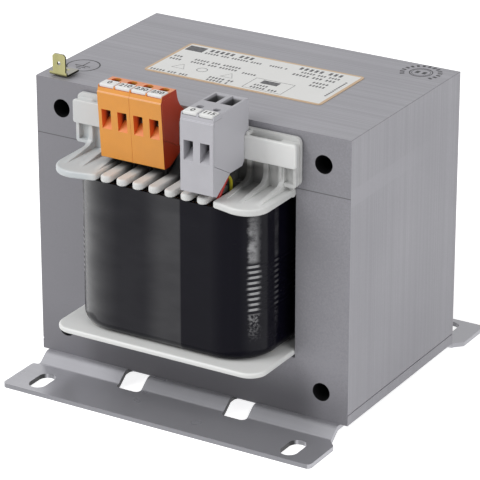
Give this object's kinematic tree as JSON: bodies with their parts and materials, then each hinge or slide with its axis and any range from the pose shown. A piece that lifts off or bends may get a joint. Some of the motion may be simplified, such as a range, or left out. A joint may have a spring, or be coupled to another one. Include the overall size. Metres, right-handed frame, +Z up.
{
  "type": "laminated chassis transformer",
  "caption": "Control transformer with a welded laminated core on two slotted sheet feet, a taped coil on a moulded bobbin, and clip-on terminals along the front.",
  "frame": {"origin": "middle of the bounding box's underside, which is the feet's underside, under the middle of the core", "axes": "+X along the width, to the right as seen from the terminals; +Y from the terminal side to the rear, along the stacking of the sheets; +Z up, along the coil's axis"},
  "size_m": [0.15, 0.1568, 0.1419],
  "materials": {
    "core_steel": "clear varnish over steel sheet edges, matte",
    "foot_steel": "satin galvanised sheet",
    "weld_steel": "ground weld bead",
    "bobbin_plastic": "natural white moulding",
    "copper_wire": "enamelled copper wire",
    "insulation_film": "insulating film",
    "black_tape": "glossy black tape",
    "orange_plastic": "satin orange moulding",
    "grey_plastic": "satin grey moulding",
    "tag_plastic": "white marker tag",
    "copper_bar": "tinned copper bar",
    "spring_steel": "stainless spring strip",
    "black_lead": "black insulated lead",
    "red_lead": "red insulated lead",
    "green_lead": "green and yellow insulated lead",
    "tab_brass": "brass-plated spade tab",
    "label_film": "white film label with a thin border"
  },
  "bodies": {
    "root": {"e_core": "core_steel", "i_core": "core_steel", "joint_welds": "weld_steel", "front_foot": "foot_steel", "rear_foot": "foot_steel", "foot_welds": "weld_steel", "bobbin": "bobbin_plastic", "primary_winding": "copper_wire", "interlayer_insulation": "insulation_film", "secondary_winding": "copper_wire", "outer_wrap": "black_tape", "orange_terminal_left": "orange_plastic", "orange_terminal_right": "orange_plastic", "orange_end_cover": "orange_plastic", "grey_terminal": "grey_plastic", "grey_end_cover": "grey_plastic", "primary_leads": "black_lead", "neutral_lead": "black_lead", "red_lead": "red_lead", "earth_lead": "green_lead", "earth_tab": "tab_brass", "rating_label": "label_film", "marker_tag_1": "tag_plastic", "contact_bar_1": "copper_bar", "clamp_spring_1": "spring_steel", "marker_tag_2": "tag_plastic", "contact_bar_2": "copper_bar", "clamp_spring_2": "spring_steel", "marker_tag_3": "tag_plastic", "contact_bar_3": "copper_bar", "clamp_spring_3": "spring_steel", "marker_tag_4": "tag_plastic", "contact_bar_4": "copper_bar", "clamp_spring_4": "spring_steel", "marker_tag_5": "tag_plastic", "contact_bar_5": "copper_bar", "clamp_spring_5": "spring_steel", "marker_tag_6": "tag_plastic", "contact_bar_6": "copper_bar", "clamp_spring_6": "spring_steel"}
  },
  "joints": []
}
